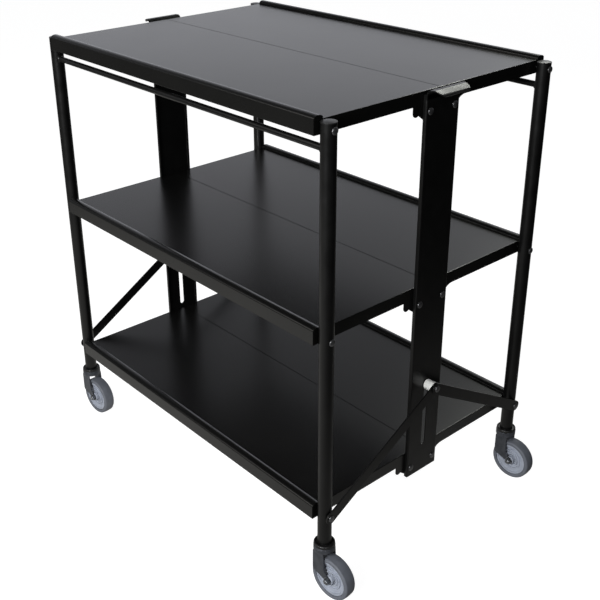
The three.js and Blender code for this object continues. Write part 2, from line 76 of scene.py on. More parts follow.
def makeCamera(s):
    yaw, pitch, roll = (math.radians(s[key]) for key in ("yaw", "pitch", "roll"))
    forward = Vector((-math.sin(yaw) * math.cos(pitch), math.cos(yaw) * math.cos(pitch), -math.sin(pitch)))
    right = Vector((math.cos(yaw), math.sin(yaw), 0))
    up = right.cross(forward)
    tiltedRight = math.cos(roll) * right + math.sin(roll) * up
    tiltedUp = math.cos(roll) * up - math.sin(roll) * right
    data = bpy.data.cameras.new("camera")
    data.lens = s["lens"]
    data.sensor_width = s["sensor"]
    data.shift_x, data.shift_y = s["shift"]
    data.clip_end = s["farthest"]
    camera = linked("camera", data)
    turn = Matrix((tiltedRight, tiltedUp, -forward)).transposed().to_4x4()
    camera.matrix_world = Matrix.Translation(floorCentre + Vector(s["place"])) @ turn
    bpy.context.scene.camera = camera


makeCamera(cameraSet)
print("camera placed")


# small steps that the materials, the world and the floor are made of

def nodeMaterial(name):
    material = bpy.data.materials.new(name)
    material.use_nodes = True
    tree = material.node_tree
    shader = tree.nodes["Principled BSDF"]
    coords = tree.nodes.new("ShaderNodeTexCoord")
    return material, tree, shader, coords


def noise(tree, coords, scale, detail):
    node = tree.nodes.new("ShaderNodeTexNoise")
    node.inputs["Scale"].default_value = scale
    node.inputs["Detail"].default_value = detail
    tree.links.new(coords.outputs["Object"], node.inputs["Vector"])
    return node.outputs["Fac"]


def ramp(tree, source, stops):
    node = tree.nodes.new("ShaderNodeValToRGB")
    while len(node.color_ramp.elements) < len(stops):
        node.color_ramp.elements.new(0.5)
    for element, (place, colour) in zip(node.color_ramp.elements, stops):
        element.position = place
        element.color = (*colour, 1)
    tree.links.new(source, node.inputs["Fac"])
    return node.outputs["Color"]


def remap(tree, source, low, high, fromLow, fromHigh, curve="LINEAR"):
    node = tree.nodes.new("ShaderNodeMapRange")
    node.interpolation_type = curve
    node.inputs["From Min"].default_value = fromLow
    node.inputs["From Max"].default_value = fromHigh
    node.inputs["To Min"].default_value = low
    node.inputs["To Max"].default_value = high
    tree.links.new(source, node.inputs["Value"])
    return node.outputs["Result"]


def dotWith(tree, source, direction):
    node = tree.nodes.new("ShaderNodeVectorMath")
    node.operation = "DOT_PRODUCT"
    node.inputs[1].default_value = direction
    tree.links.new(source, node.inputs[0])
    return node.outputs["Value"]


def product(tree, first, second):
    node = tree.nodes.new("ShaderNodeMath")
    node.operation = "MULTIPLY"
    tree.links.new(first, node.inputs[0])
    tree.links.new(second, node.inputs[1])
    return node.outputs["Value"]


def addBump(tree, shader, height, distance):
    node = tree.nodes.new("ShaderNodeBump")
    node.inputs["Strength"].default_value = 1
    node.inputs["Distance"].default_value = distance
    tree.links.new(height, node.inputs["Height"])
    tree.links.new(node.outputs["Normal"], shader.inputs["Normal"])


noiseSpan = (0.3, 0.7)  # a noise stays mostly within these
cloudDetail = 3


# a colour that drifts between dark and light, an uneven gloss and a fine grain
def finish(name, s, roughDetail, grainDetail):
    material, tree, shader, coords = nodeMaterial(name)
    cloud = noise(tree, coords, s["cloudScale"], cloudDetail)
    colour = ramp(tree, cloud, list(zip(noiseSpan, (s["dark"], s["light"]))))
    tree.links.new(colour, shader.inputs["Base Color"])
    rough = remap(tree, noise(tree, coords, s["roughScale"], roughDetail), *s["roughness"], *noiseSpan)
    tree.links.new(rough, shader.inputs["Roughness"])
    addBump(tree, shader, noise(tree, coords, s["grainScale"], grainDetail), s["grainDepth"])
    return material, shader


def powderCoat(name, s):
    material, shader = finish(name, s, roughDetail=4, grainDetail=1)
    shader.inputs["Specular IOR Level"].default_value = s["shine"]
    return material


def plated(name, s):
    material, shader = finish(name, s, roughDetail=4, grainDetail=1)
    shader.inputs["Metallic"].default_value = s["metallic"]
    return material


def moulded(name, s):
    material, shader = finish(name, s, roughDetail=3, grainDetail=2)
    return material


shelfCoat = powderCoat("shelfCoat", {
    "dark": (0.0030, 0.0030, 0.0029), "light": (0.0045, 0.0045, 0.0042), "cloudScale": 9,
    "roughness": (0.260, 0.268), "roughScale": 12, "grainScale": 900, "grainDepth": 0.000015, "shine": 0.5,
})
frameCoat = powderCoat("frameCoat", {
    "dark": (0.0022, 0.0022, 0.0022), "light": (0.0036, 0.0036, 0.0035), "cloudScale": 14,
    "roughness": (0.30, 0.40), "roughScale": 40, "grainScale": 900, "grainDepth": 0.00004, "shine": 0.4,
})
capPlastic = moulded("capPlastic", {
    "dark": (0.006, 0.006, 0.006), "light": (0.010, 0.010, 0.010), "cloudScale": 60,
    "roughness": (0.32, 0.42), "roughScale": 150, "grainScale": 1400, "grainDepth": 0.00003,
})
screwSteel = plated("screwSteel", {
    "dark": (0.13, 0.13, 0.135), "light": (0.21, 0.21, 0.215), "cloudScale": 220, "metallic": 0.85,
    "roughness": (0.26, 0.38), "roughScale": 300, "grainScale": 1500, "grainDepth": 0.00003,
})
zincSteel = plated("zincSteel", {
    "dark": (0.16, 0.17, 0.18), "light": (0.30, 0.31, 0.33), "cloudScale": 180, "metallic": 0.9,
    "roughness": (0.25, 0.42), "roughScale": 260, "grainScale": 1300, "grainDepth": 0.00003,
})
forkSteel = plated("forkSteel", {
    "dark": (0.050, 0.054, 0.064), "light": (0.082, 0.087, 0.100), "cloudScale": 90, "metallic": 0.5,
    "roughness": (0.34, 0.46), "roughScale": 160, "grainScale": 1100, "grainDepth": 0.00004,
})
hubPlastic = moulded("hubPlastic", {
    "dark": (0.30, 0.325, 0.385), "light": (0.37, 0.40, 0.465), "cloudScale": 70,
    "roughness": (0.36, 0.48), "roughScale": 160, "grainScale": 1200, "grainDepth": 0.00003,
})
tyreRubber = moulded("tyreRubber", {
    "dark": (0.105, 0.114, 0.134), "light": (0.135, 0.145, 0.170), "cloudScale": 60,
    "roughness": (0.55, 0.70), "roughScale": 120, "grainScale": 1000, "grainDepth": 0.00006,
})
whiteNylon = moulded("whiteNylon", {
    "dark": (0.74, 0.74, 0.71), "light": (0.82, 0.82, 0.80), "cloudScale": 80,
    "roughness": (0.36, 0.46), "roughScale": 200, "grainScale": 1200, "grainDepth": 0.00003,
})
print("materials made")


# outlines and profiles are lists of points in millimetres from floorCentre, meshes are in metres

bevelSteps = 2
smoothAngle = 32       # degrees between faces that still shade as one
bentSheetAngle = 35    # the same for the pieces bent from sheet


def arc(centre, radius, start, end, steps, radiusUp=None):
    up = radius if radiusUp is None else radiusUp
    turns = [math.radians(start + (end - start) * i / steps) for i in range(steps + 1)]
    return [(centre[0] + radius * math.cos(t), centre[1] + up * math.sin(t)) for t in turns]


def roundCorners(points, radii, steps):
    # rounds each corner of a closed outline by the radius given for it, and leaves those given 0
    result = []
    for i, (point, radius) in enumerate(zip(points, radii)):
        p = Vector(point)
        if radius == 0:
            result.append(tuple(p))
            continue
        before = (Vector(points[i - 1]) - p).normalized()
        after = (Vector(points[(i + 1) % len(points)]) - p).normalized()
        half = before.angle(after) / 2
        reach = radius / math.tan(half)
        start, end = p + before * reach, p + after * reach
        centre = p + (before + after).normalized() * (radius / math.sin(half))
        first = math.atan2(start.y - centre.y, start.x - centre.x)
        sweep = math.atan2(end.y - centre.y, end.x - centre.x) - first
        sweep = (sweep + math.pi) % (2 * math.pi) - math.pi
        for k in range(steps + 1):
            t = first + sweep * k / steps
            result.append((centre.x + radius * math.cos(t), centre.y + radius * math.sin(t)))
    return result


def stadium(low, high, width, steps=12):
    return arc((0, low), width / 2, 180, 360, steps) + arc((0, high), width / 2, 0, 180, steps)


def hexagon(radius):
    return arc((0, 0), radius, 0, 300, 5)


def sheetBand(path, thickness):
    # a sheet whose underside is the path, with its thickness on the left of it
    normals = []
    for (ax, ay), (bx, by) in zip(path, path[1:]):
        step = Vector((bx - ax, by - ay)).normalized()
        normals.append(Vector((-step.y, step.x)))
    upper = []
    for i, point in enumerate(path):
        before, after = normals[max(i - 1, 0)], normals[min(i, len(normals) - 1)]
        upper.append(tuple(Vector(point) + (before + after) * (thickness / (1 + before.dot(after)))))
    return path + upper[::-1]


# profiles of turned pieces are (radius, height) pairs, from the axis to the axis or closed on themselves

def rod(radius, low, high):
    return [(0, low), (radius, low), (radius, high), (0, high)]


def ring(inner, outer, low, high):
    return [(inner, low), (outer, low), (outer, high), (inner, high), (inner, low)]


def chamfered(radius, low, high, edge):
    return [(radius - edge, low), (radius, low + edge), (radius, high - edge), (radius - edge, high)]


def dome(radius, base, height, edge=0.5, steps=8):
    profile = [(0, base), (radius, base), (radius, base + edge)]
    for k in range(1, steps):
        t = math.pi / 2 * k / steps
        profile.append((radius * math.cos(t), base + edge + (height - edge) * math.sin(t)))
    return profile + [(0, base + height)]


def mirrored(half):
    return half + [(radius, -height) for radius, height in reversed(half)]


def lathe(profile, sides):
    # a profile turned about Z
    bm = bmesh.new()
    closed = profile[0] == profile[-1]
    rings = []
    for radius, height in profile[:-1] if closed else profile:
        if radius == 0:
            rings.append([bm.verts.new((0, 0, height))])
            continue
        turns = (2 * math.pi * i / sides for i in range(sides))
        rings.append([bm.verts.new((radius * math.cos(t), radius * math.sin(t), height)) for t in turns])
    pairs = list(zip(rings, rings[1:]))
    if closed:
        pairs.append((rings[-1], rings[0]))
    for lower, upper in pairs:
        for i in range(sides):
            j = (i + 1) % sides
            corners = [lower[i % len(lower)], lower[j % len(lower)]]
            corners += [upper[j % len(upper)], upper[i % len(upper)]]
            corners = list(dict.fromkeys(corners))
            if len(corners) > 2:
                bm.faces.new(corners)
    bmesh.ops.recalc_face_normals(bm, faces=bm.faces)
    return bm


def extrudeOutline(points, depth, bevel=0.0):
    # a plate in the XY plane from z 0 to depth, with its rims bevelled
    bm = bmesh.new()
    face = bm.faces.new([bm.verts.new((x, y, 0)) for x, y in points])
    out = bmesh.ops.extrude_face_region(bm, geom=[face])
    top = [v for v in out["geom"] if isinstance(v, bmesh.types.BMVert)]
    bmesh.ops.translate(bm, vec=(0, 0, depth), verts=top)
    bmesh.ops.recalc_face_normals(bm, faces=bm.faces)
    if bevel:
        rims = [e for e in bm.edges if e.verts[0].co.z == e.verts[1].co.z]
        bmesh.ops.bevel(bm, geom=rims, offset=bevel, segments=bevelSteps, profile=0.5, affect="EDGES")
    return bm


def transform(bm, matrix):
    bmesh.ops.transform(bm, matrix=matrix, verts=bm.verts)
    return bm


def merge(target, *others):
    for other in others:
        scratch = bpy.data.meshes.new("scratch")
        other.to_mesh(scratch)
        other.free()
        target.from_mesh(scratch)
        bpy.data.meshes.remove(scratch)
    return target


def applyModifiers(obj):
    # bakes the modifiers of a new piece into its mesh
    graph = bpy.context.evaluated_depsgraph_get()
    graph.update()
    mesh = bpy.data.meshes.new_from_object(obj.evaluated_get(graph))
    old = obj.data
    obj.modifiers.clear()
    obj.data = mesh
    bpy.data.meshes.remove(old)


def flatFacesLead(obj, angle):
    # smooth shading in which the wide flats keep their own direction beside narrow bends
    obj.data.shade_smooth()
    obj.data.set_sharp_from_angle(angle=math.radians(angle))
    lead = obj.modifiers.new("flats", "WEIGHTED_NORMAL")
    lead.mode = "FACE_AREA"
    lead.weight = 100
    lead.keep_sharp = True
    applyModifiers(obj)


def meshFrom(name, bm):
    mesh = bpy.data.meshes.new(name)
    bmesh.ops.scale(bm, vec=(mm, mm, mm), verts=bm.verts)
    bmesh.ops.translate(bm, vec=floorCentre, verts=bm.verts)
    bm.to_mesh(mesh)
    bm.free()
    return mesh


def cutWith(obj, bm, operation="DIFFERENCE"):
    mesh = meshFrom("cutter", bm)
    cutter = linked("cutter", mesh)
    cut = obj.modifiers.new("cut", "BOOLEAN")
    cut.operation = operation
    cut.solver = "EXACT"
    cut.object = cutter
    applyModifiers(obj)
    bpy.data.objects.remove(cutter)
    bpy.data.meshes.remove(mesh)


def addObject(name, bm, material, body, replaced=()):
    mesh = meshFrom(name, bm)
    mesh.materials.append(material)
    obj = linked(name, mesh)
    flatFacesLead(obj, smoothAngle)
    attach(obj, body)
    if replaced:
        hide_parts(*replaced)
    return obj


def at(x, y, z):
    return Matrix.Translation((x, y, z))


toX = Matrix.Rotation(math.pi / 2, 4, "Y")  # a piece turned about Z now turns about X
toY = Matrix.Rotation(-math.pi / 2, 4, "X")
# an outline (across, up) with its depth goes to (y, z, x), or to (x, z, -y)
upright = Matrix(((0, 0, 1, 0), (1, 0, 0, 0), (0, 1, 0, 0), (0, 0, 0, 1)))
sideways = Matrix(((1, 0, 0, 0), (0, 0, -1, 0), (0, 1, 0, 0), (0, 0, 0, 1)))
halfTurn = Matrix.Rotation(math.pi, 4, "Z")
endTurns = {"left": halfTurn, "right": Matrix.Identity(4)}  # pieces are made for the right end
sides = {"near": -1, "far": 1}
ends = {"left": -1, "right": 1}


# what several pieces share, in millimetres

def fromCentre(x):
    return (x - floorCentre.x) / mm


def farthestX(node):
    return max(abs(fromCentre(corner.x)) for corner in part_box(node))


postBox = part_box("post_near_right")
postX = fromCentre((postBox[0].x + postBox[1].x) / 2)
postY = -((postBox[0].y + postBox[1].y) / 2 - floorCentre.y) / mm
postRadius = (postBox[1].x - postBox[0].x) / mm / 2
postFoot, postTop = (corner.z / mm for corner in postBox)
shelfEndX = fromCentre(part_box("top_shelf_near_half")[1].x)
slotPinZ = middleOf("slot_pin_right").z / mm
pivots = {}
for tierName in ("top", "middle", "bottom"):
    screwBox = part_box(f"pivot_screw_{tierName}_near_right")
    pivots[tierName] = (screwBox[0].z + screwBox[1].z) / 2 / mm


postSet = {"wall": 1.5, "sides": 56}
capSet = {
    "edge": 0.8, "crown": 0.7, "lift": 0.1, "rimIn": 0.3, "rimUp": 0.4,
    "arch": [(0.6, 0.3), (0.3, 0.08)],  # shares of the radius, and of the crown down from the top
}


def makePosts(s, c):
    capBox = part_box("post_cap_near_right")
    capRadius = (capBox[1].x - capBox[0].x) / 2 / mm
    capTop = capBox[1].z / mm
    low = postTop + c["lift"]
    cap = [(0, low), (capRadius - c["rimIn"], low), (capRadius, low + c["rimUp"])]
    cap += arc((capRadius - c["edge"], capTop - c["crown"] - c["edge"]), c["edge"], 0, 70, 4)
    cap += [(capRadius * out, capTop - c["crown"] * down) for out, down in c["arch"]] + [(0, capTop)]
    tube = ring(postRadius - s["wall"], postRadius, postFoot, postTop)
    for side, sy in sides.items():
        for end, sx in ends.items():
            place = at(sx * postX, sy * postY, 0)
            addObject(f"tube_{side}_{end}", transform(lathe(tube, s["sides"]), place), frameCoat,
                      f"{side}_frame", replaced=[f"post_{side}_{end}"])
            addObject(f"cap_{side}_{end}", transform(lathe(cap, s["sides"]), place), capPlastic,
                      f"{side}_frame", replaced=[f"post_cap_{side}_{end}"])


railSet = {"weld": 2.5, "weldSteps": 4, "intoPost": 3.0, "sides": 32}


def makeRails(s):
    weld, steps = s["weld"], s["weldSteps"]
    face = postX - postRadius
    reach = face + s["intoPost"]
    for side, sy in sides.items():
        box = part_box(f"top_rail_{side}")
        z = (box[0].z + box[1].z) / 2 / mm
        radius = (box[1].z - box[0].z) / 2 / mm - weld
        profile = [(0, -reach), (radius + weld, -reach), (radius + weld, -face)]
        for k in range(1, steps + 1):
            profile.append((radius + weld * (1 - k / steps) ** 2, -face + weld * k / steps))
        rail = transform(lathe(mirrored(profile), s["sides"]), at(0, sy * postY, z) @ toX)
        addObject(f"rail_{side}", rail, frameCoat, f"{side}_frame",
                  replaced=[f"top_rail_{side}"])


makePosts(postSet, capSet)
makeRails(railSet)
print("posts and rails made")


shelfSet = {
    "sheet": 1.2, "bend": 1.6, "bendSteps": 3, "rim": 0.3, "rimAngle": 50,
    "lipWidth": 20.0, "lipHeight": 7.5, "lipRound": 5.5, "lipSteps": 16, "lipHem": 4.0, "hemCorner": 1.0,
    "seamDepth": 20.0, "seamInset": 1.5, "endDepth": 24.5, "surfaceRise": 13.5,
    "earDepth": 26.0, "earInner": 15.0, "earOuter": 42.0, "earCorner": 7.0,
    "lobeReach": 18.0, "lobeDepth": 11.0, "lobeRadius": 8.0,
}


def earOutline(s, lobed):
    # from the inner edge of the ear outward, along the underside of the end flange
    top, bottom = -s["endDepth"], -s["endDepth"] - s["earDepth"]
    corner = s["earCorner"]
    points = [(-s["earInner"], top)]
    points += arc((-s["earInner"] - corner, bottom + corner), corner, 0, -90, 6)
    if lobed:
        lobe = (-s["earOuter"] - s["lobeReach"], top - s["lobeDepth"])
        points += [(-s["earOuter"], bottom)] + arc(lobe, s["lobeRadius"], 315, 180, 10)
        return points + [(lobe[0] - s["lobeRadius"], top)]
    return points + arc((-s["earOuter"] - s["earDepth"], bottom), s["earDepth"], 0, 90, 12)


def shelfMesh(s):
    # the near half of a shelf, with its surface at z 0: a sheet with rounded folds and no thickness yet
    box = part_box("top_shelf_near_half")
    outerY, seamY = ((corner.y - floorCentre.y) / mm for corner in box)
    endX, baseY, hem, under = shelfEndX, outerY + s["lipWidth"], s["hemCorner"], -s["endDepth"]
    bm = bmesh.new()

    def pair(y, z, x=endX):
        return bm.verts.new((-x, y, z)), bm.verts.new((x, y, z))

    seam, base = pair(seamY, 0), pair(baseY, 0)
    crown = (outerY + s["lipWidth"] / 2, s["lipHeight"] - s["lipRound"])
    path = arc(crown, s["lipWidth"] / 2, 0, 180, s["lipSteps"], s["lipRound"])
    path += [(outerY, under + hem), (outerY + hem, under), (outerY + s["lipHem"], under)]
    lip = [base] + [pair(y, z) for y, z in path]
    bm.faces.new([base[0], base[1], seam[1], seam[0]])
    for first, second in zip(lip, lip[1:]):
        bm.faces.new([first[0], first[1], second[1], second[0]])
    hang = pair(seamY, -s["seamDepth"], endX - s["seamInset"])
    bm.faces.new([seam[0], seam[1], hang[1], hang[0]])
    for which, sx in enumerate((-1, 1)):
        edge = [bm.verts.new((sx * endX, y, z)) for y, z in [(seamY, under)] + earOutline(s, sx > 0)]
        bm.faces.new([seam[which]] + edge + [rung[which] for rung in reversed(lip)])

    bmesh.ops.recalc_face_normals(bm, faces=bm.faces)
    bm.normal_update()
    if max(bm.faces, key=lambda f: f.calc_area()).normal.z < 0:
        bmesh.ops.reverse_faces(bm, faces=bm.faces)
    folds = [bm.edges.get(fold) for fold in ((seam[0], base[0]), (seam[1], base[1]), base)]
    bmesh.ops.bevel(bm, geom=folds, offset=s["bend"], segments=s["bendSteps"], profile=0.5, affect="EDGES")
    return bm


def makeShelves(s):
    for tier, pivotZ in pivots.items():
        for side in sides:
            bm = shelfMesh(s)
            if side == "far":
                transform(bm, halfTurn)
            transform(bm, at(0, 0, pivotZ + s["surfaceRise"]))
            pan = addObject(f"pan_{tier}_{side}", bm, shelfCoat, f"{side}_{tier}_half",
                            replaced=[f"{tier}_shelf_{side}_half"])
            thick = pan.modifiers.new("thickness", "SOLIDIFY")
            thick.thickness = s["sheet"] * mm
            thick.offset = -1
            thick.use_even_offset = True
            rim = pan.modifiers.new("rim", "BEVEL")
            rim.width = s["rim"] * mm
            rim.segments = bevelSteps
            rim.limit_method = "ANGLE"
            rim.angle_limit = math.radians(s["rimAngle"])
            applyModifiers(pan)
            flatFacesLead(pan, bentSheetAngle)


makeShelves(shelfSet)
print("shelves made")


plateSet = {
    "sheet": 2.0, "gap": 0.3, "bend": 2.6, "edge": 0.35, "inset": 32.0, "drop": 22.5,
    "gripReach": 31.0, "gripWidth": 72.0, "gripCorner": 13.0, "gripBend": 8.0, "gripRoot": 6.0,
    "gripFlat": 14.0, "gripFall": 4.5, "gripEdge": 3.0, "flatRound": 6.0, "fallRound": 2.5,
    "slotWidth": 11.5, "slotLength": 149.0,
    "cutBack": 20.0, "cutAbove": 10.0, "cutDepth": 60.0,  # the cutters stand past what they cut
    "headRadius": 6.6, "headHeight": 2.4,
}
headSides = 32


def channelSection(s, innerX, outerX, half):
    # round the outside of the channel and back along its inside
    sheet, bend = s["sheet"], s["bend"]
    outer = [(innerX, -half)] + arc((outerX - bend, -half + bend), bend, -90, 0, 5)
    outer += arc((outerX - bend, half - bend), bend, 0, 90, 5) + [(innerX, half)]
    inner = [(innerX, half - sheet)] + arc((outerX - bend, half - bend), bend - sheet, 90, 0, 5)
    inner += arc((outerX - bend, -half + bend), bend - sheet, 0, -90, 5) + [(innerX, -half + sheet)]
    return outer + inner


def gripSection(s, outerX, tipX, level):
    # the underside of the grip bends out of the plate, runs level, falls away and ends in a short edge
    bend, edge, edgeX = s["gripBend"], s["gripEdge"], tipX - s["sheet"]
    bendZ, fallen = level - bend, level - s["gripFall"]
    under = [(outerX, bendZ - bend)] + arc((outerX + bend, bendZ), bend, 180, 90, 8)
    under += [(outerX + s["gripFlat"], level), (edgeX - edge, fallen), (edgeX, fallen - edge)]
    radii = [0] * (len(under) - 4) + [s["flatRound"], s["fallRound"], 0, 0]
    return sheetBand(roundCorners(under, radii, 5), s["sheet"])


def gripPlan(s, outerX, tipX, half):
    # from above: as wide as the plate at its root, narrower and rounded at its tip
    back, root, tipHalf = outerX - s["cutBack"], outerX + s["gripRoot"], s["gripWidth"] / 2
    corners = [(back, -half), (root, -half), (tipX, -tipHalf), (tipX, tipHalf), (root, half), (back, half)]
    radii = [0, s["gripRoot"], s["gripCorner"], s["gripCorner"], s["gripRoot"], 0]
    return roundCorners(corners, radii, 8)


def makePlates(s):
    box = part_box("centre_plate_right")
    low, top = (corner.z / mm for corner in box)
    half = (box[1].y - box[0].y) / 2 / mm
    tipX = fromCentre(box[1].x)
    outerX = tipX - s["gripReach"]
    level = top - s["sheet"]
    section = channelSection(s, shelfEndX + s["gap"], outerX, half)
    slotPlan = stadium(slotPinZ + s["slotWidth"] - s["slotLength"], slotPinZ, s["slotWidth"])
    for end, turn in endTurns.items():
        channel = extrudeOutline(section, level - s["gripBend"] - low, s["edge"])
        plate = addObject(f"channel_{end}", transform(channel, turn @ at(0, 0, low)), frameCoat,
                          "centre_plates", replaced=[f"centre_plate_{end}"])
        slot = extrudeOutline(slotPlan, 2 * s["cutBack"])
        cutWith(plate, transform(slot, turn @ at(outerX - s["cutBack"], 0, 0) @ upright))
        grip = extrudeOutline(gripSection(s, outerX, tipX, level), 2 * half)
        transform(grip, at(0, half, 0) @ sideways)
        tongue = addObject(f"grip_{end}", transform(grip, turn), frameCoat, "centre_plates")
        plan = extrudeOutline(gripPlan(s, outerX, tipX, half), s["cutDepth"])
        cutWith(tongue, transform(plan, turn @ at(0, 0, top + s["cutAbove"] - s["cutDepth"])), "INTERSECT")
        for obj in (plate, tongue):
            flatFacesLead(obj, bentSheetAngle)
        for tier, pivotZ in pivots.items():
            for side, sy in sides.items():
                head = lathe(dome(s["headRadius"], 0, s["headHeight"]), headSides)
                place = turn @ at(outerX, ends[end] * sy * s["inset"], pivotZ - s["drop"]) @ toX
                addObject(f"rivet_{tier}_{side}_{end}", transform(head, place), screwSteel, "centre_plates")


makePlates(plateSet)
print("centre plates made")


pinSet = {"headRadius": 8.5, "headThick": 4.0, "radius": 5.0, "collarRadius": 8.0, "collarLength": 8.0,
          "journal": 4.0, "edge": 0.6, "sides": 40}
rollerSet = {"gap": 0.3, "bore": 4.5, "round": 1.5, "sides": 48}


def makeSlotPins(s, r):
    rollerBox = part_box("roller_right")
    rollerIn, rollerOut = (fromCentre(corner.x) for corner in rollerBox)
    rollerRadius = (rollerBox[1].z - rollerBox[0].z) / 2 / mm
    headIn, tip = (fromCentre(corner.x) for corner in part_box("slot_pin_right"))
    headOut = headIn + s["headThick"]
    collarOut = rollerIn - r["gap"]
    collarIn = collarOut - s["collarLength"]
    edge, journal = s["edge"], s["journal"]
    pin = [(0, headIn)] + chamfered(s["headRadius"], headIn, headOut, edge)
    pin += [(s["radius"], headOut), (s["radius"], collarIn)]
    pin += chamfered(s["collarRadius"], collarIn, collarOut, edge)
    pin += [(journal, collarOut), (journal, tip - edge), (journal - edge, tip), (0, tip)]

    # the roller reaches in over the collar of its pin
    skirt, over, rim = collarIn + r["gap"], s["collarRadius"] + r["gap"], rollerRadius - r["round"]
    roller = [(r["bore"], rollerIn), (over, rollerIn), (over, skirt)]
    roller += arc((rim, skirt + r["round"]), r["round"], -90, 0, 5)
    roller += arc((rim, rollerOut - r["round"]), r["round"], 0, 90, 5)
    roller += [(r["bore"], rollerOut), (r["bore"], rollerIn)]
    for end, turn in endTurns.items():
        place = turn @ at(0, 0, slotPinZ) @ toX
        addObject(f"pin_{end}", transform(lathe(pin, s["sides"]), place), zincSteel, f"slot_pin_body_{end}",
                  replaced=[f"slot_pin_{end}"])
        addObject(f"rollerWheel_{end}", transform(lathe(roller, r["sides"]), place), whiteNylon,
                  f"roller_body_{end}", replaced=[f"roller_{end}"])


makeSlotPins(pinSet, rollerSet)


linkSet = {"width": 23.0, "thick": 3.0, "flat": 45.0, "footGap": 1.4, "edge": 0.5, "endSteps": 16,
           "headRadius": 6.5, "headHeight": 2.5}


def linkMesh(s, length, footOut, apexOut):
    # along X, across Y and outward Z, set over between the flat ends
    outline = arc((0, 0), s["width"] / 2, 90, 270, s["endSteps"])
    outline += arc((length, 0), s["width"] / 2, -90, 90, s["endSteps"])
    bm = extrudeOutline(outline, s["thick"], s["edge"])
    for along in (s["flat"], length - s["flat"]):
        everything = bm.verts[:] + bm.edges[:] + bm.faces[:]
        bmesh.ops.bisect_plane(bm, geom=everything, plane_co=(along, 0, 0), plane_no=(1, 0, 0))
    for v in bm.verts:
        share = (v.co.x - s["flat"]) / (length - 2 * s["flat"])
        v.co.z += footOut - s["thick"] + (apexOut - footOut) * min(max(share, 0), 1)
    return bm


def makeLinks(s):
    rise = slotPinZ - pivots["bottom"]
    length, tilt = math.hypot(postY, rise), math.atan2(rise, postY)
    footOut = postX + postRadius + s["footGap"] + s["thick"]
    for end, turn in endTurns.items():
        for foot, angle in ((-1, tilt), (1, math.pi - tilt)):
            side = "near" if foot * ends[end] < 0 else "far"
            node = f"link_{side}_{end}"
            outerLink = foot > 0  # of the two links at an end, the one that lies outside and has the rivet
            apexOut = farthestX(node) - (s["headHeight"] if outerLink else 0)
            place = turn @ at(0, foot * postY, pivots["bottom"]) @ Matrix.Rotation(angle, 4, "X") @ upright
            bar = linkMesh(s, length, footOut, apexOut)
            addObject(f"bar_{side}_{end}", transform(bar, place), frameCoat, f"{side}_link_{end}",
                      replaced=[node])
            if outerLink:
                head = lathe(dome(s["headRadius"], 0, s["headHeight"]), headSides)
                addObject(f"apexHead_{end}", transform(head, place @ at(length, 0, apexOut)), screwSteel,
                          f"{side}_link_{end}")


makeLinks(linkSet)


screwSet = {"radius": 3.0, "headRadius": 6.5, "headHeight": 2.6, "gap": 0.3, "washer": 0.8, "nut": 5.75,
            "nutThick": 5.0, "nutEdge": 0.5, "tip": 1.5, "edge": 0.6}


def makeScrews(s):
    nutIn = shelfEndX - shelfSet["sheet"] - s["gap"] - s["nutThick"]
    tip = nutIn - s["tip"]
    washerIn = postX + postRadius + s["gap"]
    shank = [(0, tip), (s["radius"] - s["edge"], tip), (s["radius"], tip + s["edge"])]
    washer = ring(s["radius"], s["headRadius"], washerIn, washerIn + s["washer"])
    for tier, pivotZ in pivots.items():
        for end, turn in endTurns.items():
            for side, sy in sides.items():
                node = f"pivot_screw_{tier}_{side}_{end}"
                headIn = farthestX(node) - s["headHeight"]
                head = dome(s["headRadius"], headIn, s["headHeight"], s["edge"])[1:]
                screw = lathe(shank + [(s["radius"], headIn)] + head, headSides)
                nut = extrudeOutline(hexagon(s["nut"]), s["nutThick"], s["nutEdge"])
                parts = [transform(nut, at(0, 0, nutIn))]
                if tier == "bottom":
                    parts.append(lathe(washer, headSides))
                place = turn @ at(0, ends[end] * sy * postY, pivotZ) @ toX
                addObject(f"screw_{tier}_{side}_{end}", transform(merge(screw, *parts), place), screwSteel,
                          f"{side}_frame", replaced=[node])


makeScrews(screwSet)
print("pins, links and screws made")


# each caster is made round the axis of its post, with the wheel trailing along X

stemSet = {
    "radius": 20.5, "thick": 6.0, "foot": 0.4, "round": 2.6, "well": 17.4, "wellSlope": 0.8,
    "wellDepth": 1.6, "plug": 11.7, "plugHeight": 12.0, "sides": 48,
    "kingpin": 6.0, "kingHead": 10.0, "kingThick": 3.0, "kingSides": 40,
    "kingRound": [(0.55, 0.2), (0.85, 0.9), (1.0, 2.1)],  # shares of the head's radius, and heights
}


def stemMeshes(s, capTop, cupBottom):
    base, well = capTop - s["thick"], capTop - s["wellDepth"]
    cap = [(0, base), (s["radius"] - s["foot"], base), (s["radius"], base + s["foot"])]
    cap += arc((s["radius"] - s["round"], capTop - s["round"]), s["round"], 0, 90, 6)
    cap += [(s["well"], capTop), (s["well"] - s["wellSlope"], well), (s["plug"], well),
            (s["plug"], capTop + s["plugHeight"]), (0, capTop + s["plugHeight"])]
    headTop = cupBottom - forkSet["gap"]
    low = headTop - s["kingThick"]
    pin = [(0, low)] + [(s["kingHead"] * share, low + up) for share, up in s["kingRound"]]
    pin += [(s["kingHead"], headTop), (s["kingpin"], headTop), (s["kingpin"], base), (0, base)]
    return lathe(cap, s["sides"]), lathe(pin, s["kingSides"])


